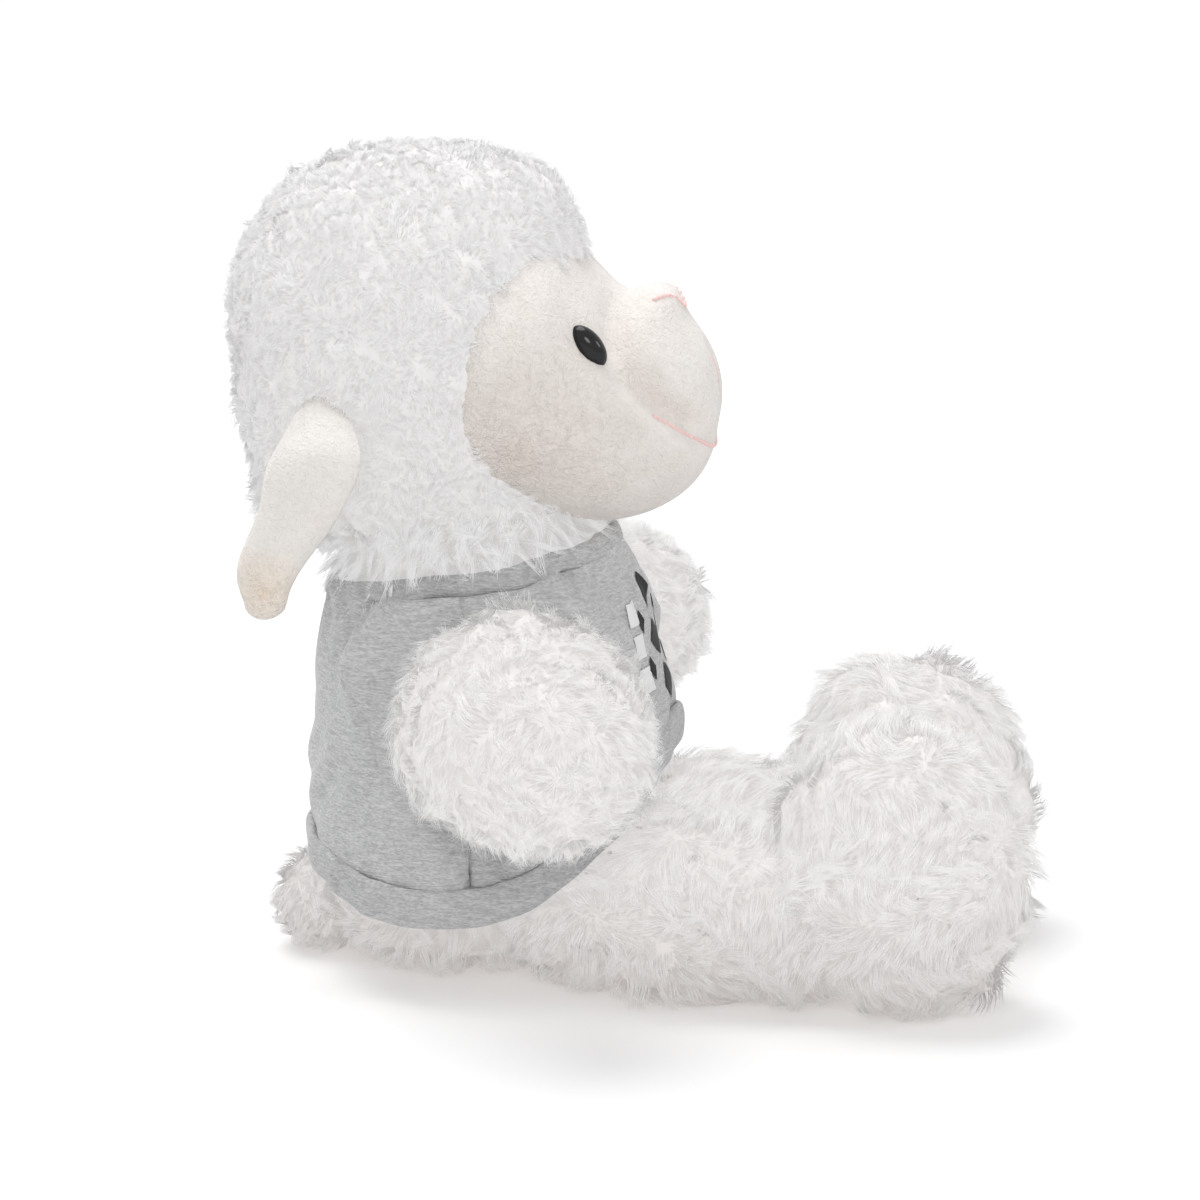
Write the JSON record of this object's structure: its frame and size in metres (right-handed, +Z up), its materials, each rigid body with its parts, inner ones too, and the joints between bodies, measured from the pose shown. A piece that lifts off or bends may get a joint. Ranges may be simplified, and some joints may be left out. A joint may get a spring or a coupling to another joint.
{
  "type": "plush sheep",
  "caption": "Seated soft toy sheep with a curly wool coat, a short-pile face and ears, and a sleeveless jersey tee, on soft sewn neck, limb, ear and tail joints.",
  "frame": {"origin": "on the floor, under the middle of the seated toy's box", "axes": "+X the way the sheep faces, +Y its left, +Z up"},
  "size_m": [0.1878, 0.1808, 0.1958],
  "materials": {
    "wool": "white curly long-pile plush",
    "minky": "cream short-pile plush",
    "ear_cloth": "cream short-pile plush",
    "jersey": "heather grey jersey knit",
    "rib": "heather grey jersey, turned and stitched",
    "stuffing": "loose polyester filling",
    "pouch": "woven pellet pouch",
    "eye": "polished black",
    "washer": "moulded",
    "thread": "pink embroidery thread",
    "print": "flat transfer film, black and white"
  },
  "bodies": {
    "torso": {"body_skin": "wool", "body_filling": "stuffing", "seat_pouch": "pouch", "tee_front": "jersey", "tee_back": "jersey", "tee_hem": "rib", "tee_neck_band": "rib", "tee_armhole_right": "rib", "tee_armhole_left": "rib", "chest_print": "print"},
    "neck": {"neck_skin": "wool", "neck_filling": "stuffing"},
    "head": {"head_wool_skin": "wool", "face_skin": "minky", "head_filling": "stuffing", "eye_right": "eye", "eye_left": "eye", "eye_washer_right": "washer", "eye_washer_left": "washer", "nose_stitch": "thread", "lip_stitch": "thread", "mouth_stitch": "thread"},
    "ear_right": {"ear_outer_right": "ear_cloth", "ear_lining_right": "ear_cloth"},
    "ear_left": {"ear_outer_left": "ear_cloth", "ear_lining_left": "ear_cloth"},
    "arm_right": {"arm_right_skin": "wool", "arm_right_filling": "stuffing"},
    "arm_left": {"arm_left_skin": "wool", "arm_left_filling": "stuffing"},
    "leg_right": {"leg_right_skin": "wool", "leg_right_filling": "stuffing", "foot_right_skin": "wool", "foot_right_filling": "stuffing"},
    "leg_left": {"leg_left_skin": "wool", "leg_left_filling": "stuffing", "foot_left_skin": "wool", "foot_left_filling": "stuffing"},
    "tail": {"tail_skin": "wool", "tail_filling": "stuffing"}
  },
  "joints": [
    {"name": "neck_turn", "type": "hinge", "parent": "torso", "child": "neck", "pos_m": [-0.03796, 0, 0.0995], "axis": [-0.2079, 0, 0.9781], "range_deg": [-20, 20], "stiffness_Nm_per_rad": 0.05},
    {"name": "head_nod", "type": "hinge", "parent": "neck", "child": "head", "pos_m": [-0.03796, 0, 0.0995], "axis": [0, -1, 0], "range_deg": [-2, 8], "stiffness_Nm_per_rad": 0.5},
    {"name": "ear_right_lift", "type": "hinge", "parent": "head", "child": "ear_right", "pos_m": [-0.06296, -0.0443, 0.139], "axis": [-1, 0, 0], "range_deg": [0, 50]},
    {"name": "arm_right_raise", "type": "hinge", "parent": "torso", "child": "arm_right", "pos_m": [-0.02596, -0.042, 0.073], "axis": [-1, 0, 0], "range_deg": [0, 30], "stiffness_Nm_per_rad": 0.05},
    {"name": "leg_right_spread", "type": "hinge", "parent": "torso", "child": "leg_right", "pos_m": [-0.00796, -0.0212, 0.0214], "axis": [0, 0, -1], "range_deg": [-3, 12]},
    {"name": "ear_left_lift", "type": "hinge", "parent": "head", "child": "ear_left", "pos_m": [-0.06296, 0.0443, 0.139], "axis": [1, 0, 0], "range_deg": [0, 50]},
    {"name": "arm_left_raise", "type": "hinge", "parent": "torso", "child": "arm_left", "pos_m": [-0.02596, 0.042, 0.073], "axis": [1, 0, 0], "range_deg": [0, 30], "stiffness_Nm_per_rad": 0.05},
    {"name": "leg_left_spread", "type": "hinge", "parent": "torso", "child": "leg_left", "pos_m": [-0.00796, 0.0212, 0.0214], "axis": [0, 0, 1], "range_deg": [-3, 12]},
    {"name": "tail_wag", "type": "hinge", "parent": "torso", "child": "tail", "pos_m": [-0.07096, 0, 0.0125], "axis": [0, 0, 1], "range_deg": [-15, 15], "stiffness_Nm_per_rad": 0.01}
  ]
}
